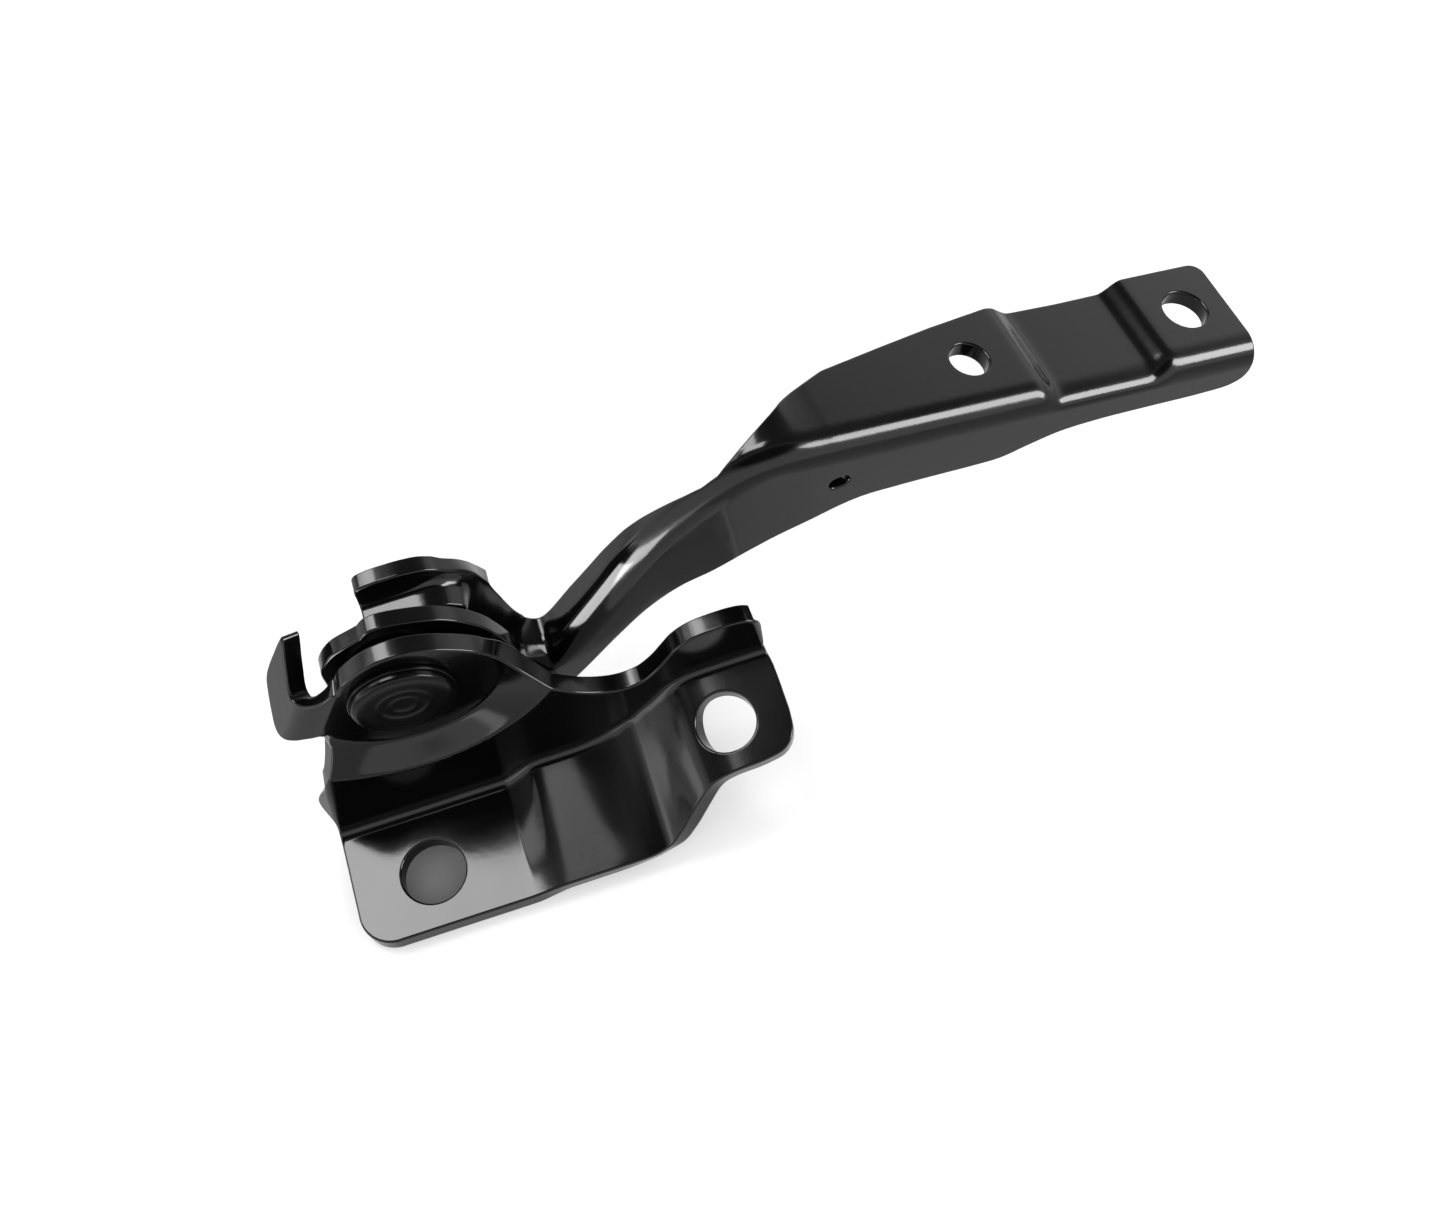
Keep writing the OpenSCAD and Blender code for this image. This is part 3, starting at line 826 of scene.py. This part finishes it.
# Painted shade: the floor's base colour and glow are darkest within 8.5 mm of the origin, below the left pad's bolt
# hole, and ease back to full by 12.8 mm. This stands in for the shadow under the pad.
fn = fm.node_tree
fc = fn.nodes.new("ShaderNodeTexCoord")
fd = fn.nodes.new("ShaderNodeVectorMath")
fd.operation = "LENGTH"
painted_shade_base = fn.nodes.new("ShaderNodeMapRange")
painted_shade_base.interpolation_type = "SMOOTHSTEP"
painted_shade_base.inputs["From Min"].default_value = 0.0085
painted_shade_base.inputs["From Max"].default_value = 0.0128
painted_shade_base.inputs["To Min"].default_value = 0.028
painted_shade_base.inputs["To Max"].default_value = 0.12
painted_shade_glow = fn.nodes.new("ShaderNodeMapRange")
painted_shade_glow.interpolation_type = "SMOOTHSTEP"
painted_shade_glow.inputs["From Min"].default_value = 0.0085
painted_shade_glow.inputs["From Max"].default_value = 0.0128
painted_shade_glow.inputs["To Min"].default_value = 0.03
painted_shade_glow.inputs["To Max"].default_value = 0.2
fn.links.new(fc.outputs["Object"], fd.inputs[0])
for k_, sock in ((painted_shade_base, "Base Color"), (painted_shade_glow, "Emission Strength")):
    fn.links.new(fd.outputs["Value"], k_.inputs["Value"])
    fn.links.new(k_.outputs["Result"], fb.inputs[sock])
me.materials.append(fm)

world = bpy.data.worlds.new("studio")
bpy.context.scene.world = world
world.use_nodes = True
wn = world.node_tree
bg = wn.nodes["Background"]
tc = wn.nodes.new("ShaderNodeTexCoord")
sep = wn.nodes.new("ShaderNodeSeparateXYZ")
wn.links.new(tc.outputs["Generated"], sep.inputs[0])
el = wn.nodes.new("ShaderNodeValToRGB")
el.color_ramp.interpolation = "EASE"
stops = [(0.0, 1.0), (0.5, 1.6), (0.56, 2.4), (0.64, 2.6), (0.71, 2.0), (0.78, 0.5), (0.9, 0.28), (1.0, 0.3)]
ramp_el = el.color_ramp
while len(ramp_el.elements) < len(stops):
    ramp_el.elements.new(0.5)
for e, (p, v) in zip(ramp_el.elements, stops):
    e.position = p
    e.color = (v, v, v, 1)
mr = wn.nodes.new("ShaderNodeMapRange")
mr.inputs["From Min"].default_value = -1
mr.inputs["From Max"].default_value = 1
wn.links.new(sep.outputs["Z"], mr.inputs["Value"])
wn.links.new(mr.outputs["Result"], el.inputs["Fac"])
# the side of the camera is dark above the horizon
fy = wn.nodes.new("ShaderNodeMapRange")
fy.inputs["From Min"].default_value = -0.02
fy.inputs["From Max"].default_value = -0.2
wn.links.new(sep.outputs["Y"], fy.inputs["Value"])
fz = wn.nodes.new("ShaderNodeMapRange")
fz.inputs["From Min"].default_value = 0.52
fz.inputs["From Max"].default_value = 0.7
wn.links.new(sep.outputs["Z"], fz.inputs["Value"])
fm_ = wn.nodes.new("ShaderNodeMath")
fm_.operation = "MULTIPLY"
wn.links.new(fy.outputs["Result"], fm_.inputs[0])
wn.links.new(fz.outputs["Result"], fm_.inputs[1])
mix = wn.nodes.new("ShaderNodeMix")
mix.data_type = "RGBA"
mix.inputs[7].default_value = (0.06, 0.06, 0.06, 1)
wn.links.new(fm_.outputs["Value"], mix.inputs[0])
low = wn.nodes.new("ShaderNodeMix")
low.data_type = "RGBA"
low.inputs[7].default_value = (2.9, 2.9, 2.9, 1)
wn.links.new(fy.outputs["Result"], low.inputs[0])
wn.links.new(el.outputs["Color"], low.inputs[6])
wn.links.new(low.outputs[2], mix.inputs[6])
wn.links.new(mix.outputs[2], bg.inputs["Color"])
bg.inputs["Strength"].default_value = 1.0


def area(name, centre, target, size, energy, size_y=None, spread=180):
    li = bpy.data.lights.new(name, "AREA")
    li.shape = "RECTANGLE" if size_y else "SQUARE"
    li.size = size
    if size_y:
        li.size_y = size_y
    li.energy = energy
    li.spread = math.radians(spread)
    ob = bpy.data.objects.new(name, li)
    bpy.context.scene.collection.objects.link(ob)
    c, t = Vector(centre), Vector(target)
    ob.location = c
    ob.rotation_euler = (t - c).to_track_quat("-Z", "Y").to_euler()
    return ob


MID = Vector((0.08, 0.02, 0.04))


def overhead(name, r0, r1, q0, q1, radiance, h=5.0):
    """A level soft box overhead, given by slopes to the right and to the back of the photo axes."""
    R, Q = Vector((0.961, -0.2756, 0)), Vector((0.2756, 0.961, 0))
    c = MID + (R * (r0 + r1) / 2 + Q * (q0 + q1) / 2) * h + Vector((0, 0, h))
    w, d = (r1 - r0) * h, (q1 - q0) * h
    li = bpy.data.lights.new(name, "AREA")
    li.shape = "RECTANGLE"
    li.size, li.size_y = w, d
    li.energy = radiance * math.pi * w * d
    ob = bpy.data.objects.new(name, li)
    bpy.context.scene.collection.objects.link(ob)
    ob.location = c
    ob.rotation_euler = (0, 0, -math.radians(16))
    return ob


def strip(name, az, elev, waz, wel, radiance, dist=5.0):
    """A soft box to one side, given by its azimuth, height angle and angular size."""
    a, e = math.radians(az), math.radians(elev)
    d = Vector((math.cos(e) * math.cos(a), math.cos(e) * math.sin(a), math.sin(e)))
    w, h = 2 * dist * math.tan(math.radians(waz / 2)), 2 * dist * math.tan(math.radians(wel / 2))
    area(name, MID + d * dist, MID, w, radiance * math.pi * w * h, h)


# broad fill from all sides for the floor, kept out of the gloss
for i in range(6):
    a = math.radians(60 * i + 10)
    e = math.radians(38)
    d = Vector((math.cos(e) * math.cos(a), math.cos(e) * math.sin(a), math.sin(e)))
    ob = area("fill_%d" % i, MID + d * 3.0, MID, 2.4, 10.2 * math.pi * 2.4 * 2.4)
    ob.visible_glossy = False
overhead("top_box", -0.62, -0.12, 0.10, 0.42, 28.0)
panel_box = overhead("panel_box", -0.175, -0.07, -0.06, 0.10, 7.5)
bracket_only = bpy.data.collections.new("bracket_box")
bracket_only.objects.link(bracket)
panel_box.light_linking.receiver_collection = bracket_only
overhead("twist_box", -0.85, -0.36, 0.42, 0.8, 24.0)
strip("right_strip", -20, 22, 18, 28, 34.0)
overhead("left_box", -1.5, -0.75, -0.06, 0.5, 7.0)


def standing(name, az, waz, z0, z1, radiance, dist=0.55):
    """A low panel standing beside the part, seen only in the gloss."""
    a = math.radians(az)
    c = Vector((MID.x + dist * math.cos(a), MID.y + dist * math.sin(a), (z0 + z1) / 2))
    w = 2 * dist * math.tan(math.radians(waz / 2))
    ob = area(name, c, Vector((MID.x, MID.y, c.z)), w, radiance * math.pi * w * (z1 - z0), z1 - z0)
    ob.visible_diffuse = False
    ob.visible_camera = False
    return ob


standing("left_low", 198, 76, 0.0, 0.13, 3.2)


def card(name, centre, across, face, w, h, radiance):
    """A small card with its long side along across, shining towards face on the arm's gloss only."""
    li = bpy.data.lights.new(name, "AREA")
    li.shape = "RECTANGLE"
    li.size, li.size_y = w, h
    li.energy = radiance * math.pi * w * h
    ob = bpy.data.objects.new(name, li)
    bpy.context.scene.collection.objects.link(ob)
    ax, az = Vector(across).normalized(), -Vector(face).normalized()
    m = Matrix((ax, az.cross(ax), az)).transposed().to_4x4()
    m.translation = Vector(centre)
    ob.matrix_world = m
    ob.visible_diffuse = False
    ob.visible_camera = False
    ob.light_linking.receiver_collection = arm_only
    return ob


arm_only = bpy.data.collections.new("arm_cards")
arm_only.objects.link(arm)
card("neck_side", (-0.0385, -0.041, 0.045), (0.047, -0.054, 0), (0.054, 0.047, 0), 0.0716, 0.042, 26.0)
card("neck_ribbon", (0.0480, 0.02655, 0.0455), (0.643, 0, 0.766), (0.766, 0, -0.643), 0.0250, 0.0083, 25.0)
card("neck_front", (0.064, 0.0225, 0.037), (1, 0, 0), (0, 1, 0), 0.048, 0.064, 0.5)

# ------------------------------------------------------------------- camera
cam = bpy.data.cameras.new("camera")
cam.sensor_fit = "HORIZONTAL"
cam.sensor_width = 36
cam.lens = 54.81
cam.clip_start = 0.01
co = bpy.data.objects.new("camera", cam)
bpy.context.scene.collection.objects.link(co)
right = Vector((0.950770430, -0.272717750, -0.147175470))
up = Vector((0.309895667, 0.835915311, 0.453001399))
back = Vector((-0.000515293, -0.476309375, 0.879277609))
M = Matrix((right, up, back)).transposed().to_4x4()
M.translation = Vector((0.0802234, -0.2077482, 0.4606573))
co.matrix_world = M
bpy.context.scene.camera = co
bpy.context.scene.view_settings.view_transform = "Standard"
bpy.context.scene.view_settings.look = "None"

bpy.context.view_layer.update()
